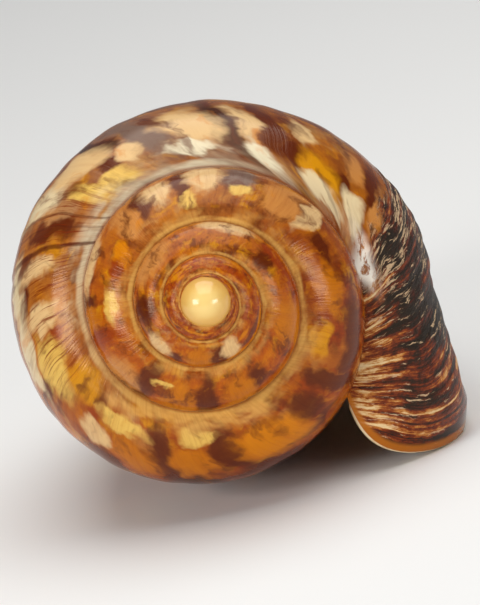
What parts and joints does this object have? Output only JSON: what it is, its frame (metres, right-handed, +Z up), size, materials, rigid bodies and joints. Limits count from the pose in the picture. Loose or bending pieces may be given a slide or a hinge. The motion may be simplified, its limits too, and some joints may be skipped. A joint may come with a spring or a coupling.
{
  "type": "volute shell",
  "caption": "Long spiral sea shell lying on its aperture: bead-like apex, convex stepped whorls, smooth tapering body, flared lip, open slit-like aperture and folded columella.",
  "frame": {"origin": "centre of the footprint box, on the ground that the shell lies on", "axes": "+Z up; the shell's own axis lies over Y, with the apex towards -Y and the anterior end dipping towards +Y; the lip is towards +X"},
  "size_m": [0.0534, 0.0952, 0.0495],
  "materials": {
    "glossy_shell": "glossy porcelain-like shell, orange and cream patches on a dark brown net, duller and darker near the lip"
  },
  "bodies": {
    "root": {"shell": "glossy_shell"}
  },
  "joints": []
}
